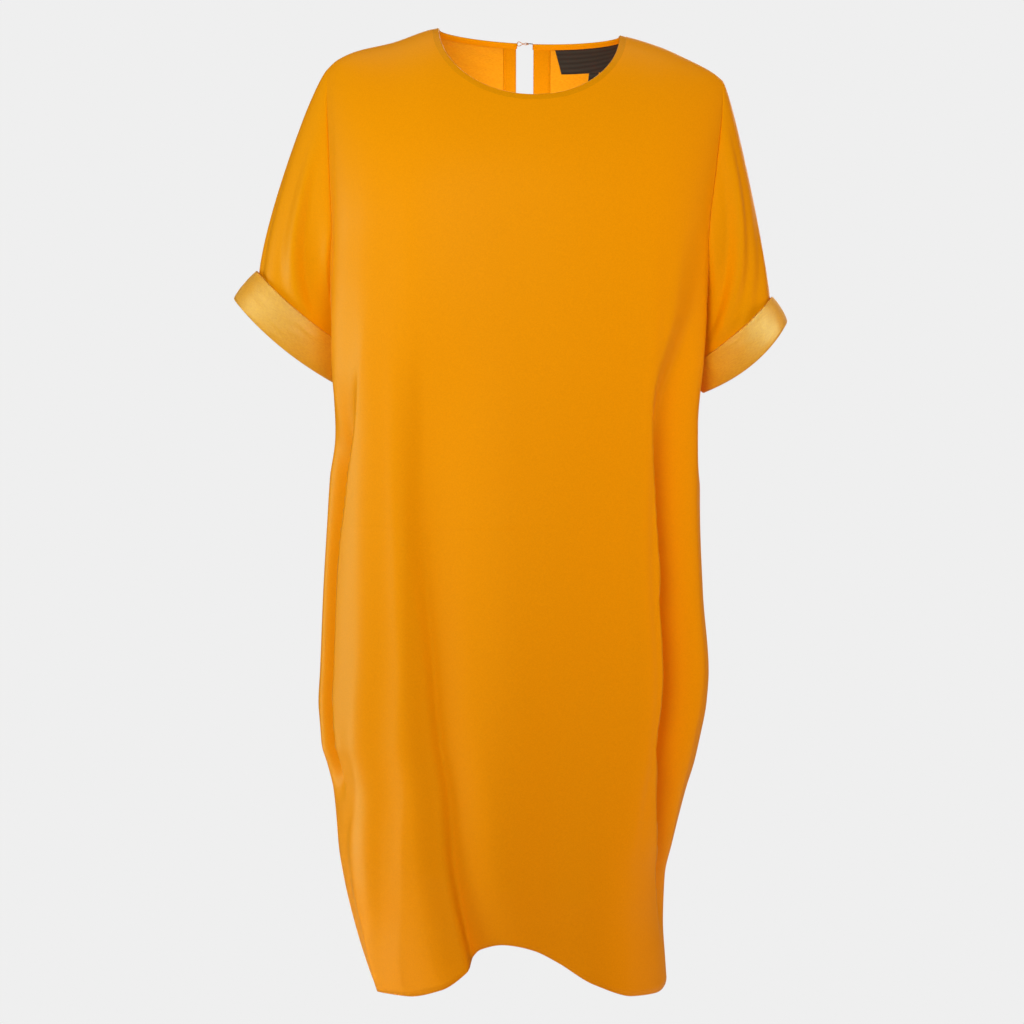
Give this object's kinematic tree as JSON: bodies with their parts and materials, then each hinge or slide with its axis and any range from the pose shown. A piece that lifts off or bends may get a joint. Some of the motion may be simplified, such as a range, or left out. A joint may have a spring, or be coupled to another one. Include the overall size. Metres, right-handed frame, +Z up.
{
  "type": "shift dress",
  "caption": "Boxy knee-length shift dress in worn form, with dropped short sleeves, turned-up satin cuffs, bound round neck and a slit at the back neck.",
  "frame": {"origin": "midway between the two shoulder seams, at the height of the neck points, where the wearer's shoulders carry the dress", "axes": "+Z up, -Y out of the front of the dress, +X towards the wearer's left arm"},
  "size_m": [0.5347, 0.2319, 0.9226],
  "materials": {
    "crepe": "matt woven crepe, marigold",
    "satin": "satin face of the same cloth",
    "binding": "narrow bias binding in crepe",
    "facing": "crepe facing, turned in",
    "label": "plain black woven ribbon",
    "thread": "worked sewing thread",
    "hook": "bent wire"
  },
  "bodies": {
    "root": {"front": "crepe", "back_left": "crepe", "back_right": "crepe", "sleeve_left": "crepe", "sleeve_right": "crepe", "cuff_left": "satin", "cuff_right": "satin", "neck_binding": "binding", "slit_facing_left": "facing", "slit_facing_right": "facing", "neck_label": "label", "size_tab": "label", "thread_loop": "thread", "neck_hook": "hook"}
  },
  "joints": []
}
